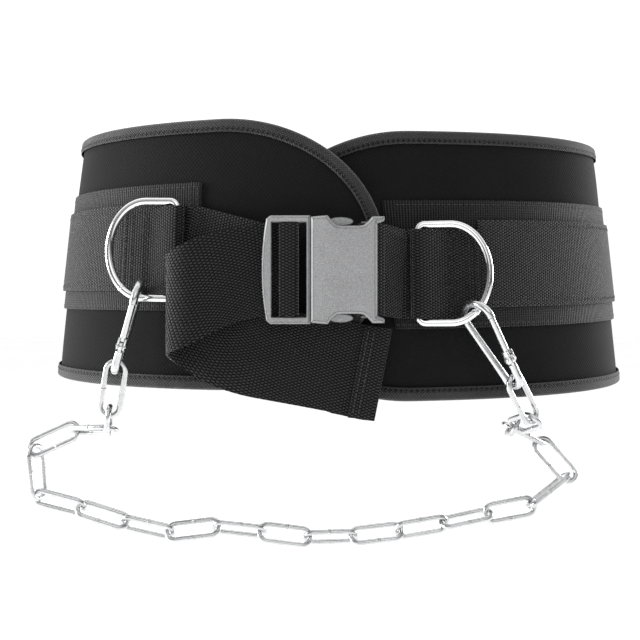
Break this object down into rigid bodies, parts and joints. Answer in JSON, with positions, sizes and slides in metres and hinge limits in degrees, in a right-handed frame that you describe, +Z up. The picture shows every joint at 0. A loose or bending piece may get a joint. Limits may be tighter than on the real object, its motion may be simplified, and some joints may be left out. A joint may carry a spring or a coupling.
{
  "type": "dip belt",
  "caption": "Padded waist belt closed in front by a side-release buckle, with a chain on snap hooks between two D-rings to carry weights.",
  "frame": {"origin": "middle of the waist hollow, half-way up the padded wrap", "axes": "+X to the belt's right as seen from the front, +Y from the front to the back, +Z up"},
  "size_m": [0.3822, 0.2697, 0.2558],
  "materials": {
    "neoprene": "black knitted neoprene",
    "binding": "grey woven tape",
    "ribbed_band": "fine upright ribs",
    "coarse_band": "coarse basket weave",
    "webbing": "woven nylon webbing",
    "buckle_plastic": "fine grain",
    "chrome": "bright plated",
    "zinc": "bright zinc plated"
  },
  "bodies": {
    "belt": {"belt_wrap": "neoprene", "edge_binding": "binding", "wide_band": "ribbed_band", "middle_band": "coarse_band", "ring_loop_left": "webbing", "ring_loop_right": "webbing", "d_ring_left": "chrome", "d_ring_right": "chrome", "front_strap": "webbing", "buckle_strap": "webbing", "buckle_body": "buckle_plastic", "buckle_frame": "buckle_plastic", "hook_left": "zinc", "hook_right": "zinc", "chain_link_01": "zinc", "chain_link_02": "zinc", "chain_link_03": "zinc", "chain_link_04": "zinc", "chain_link_05": "zinc", "chain_link_06": "zinc", "chain_link_07": "zinc", "chain_link_08": "zinc", "chain_link_09": "zinc", "chain_link_10": "zinc", "chain_link_11": "zinc", "chain_link_12": "zinc", "chain_link_13": "zinc", "chain_link_14": "zinc", "chain_link_15": "zinc", "chain_link_16": "zinc", "chain_link_17": "zinc", "chain_link_18": "zinc", "chain_link_19": "zinc", "chain_link_20": "zinc", "chain_link_21": "zinc", "chain_link_22": "zinc"},
    "gate_left": {"gate_left": "zinc"},
    "gate_right": {"gate_right": "zinc"}
  },
  "joints": [
    {"name": "gate_left_hinge", "type": "hinge", "parent": "belt", "child": "gate_left", "pos_m": [-0.12532, -0.12605, -0.04865], "axis": [-0.9527, -0.1044, 0.2855], "range_deg": [0, 22], "stiffness_Nm_per_rad": 0.02, "springref_deg": -11.46},
    {"name": "gate_right_hinge", "type": "hinge", "parent": "belt", "child": "gate_right", "pos_m": [0.08843, -0.13481, -0.05493], "axis": [-0.7263, -0.5446, -0.4193], "range_deg": [0, 22], "stiffness_Nm_per_rad": 0.02, "springref_deg": -11.46}
  ]
}
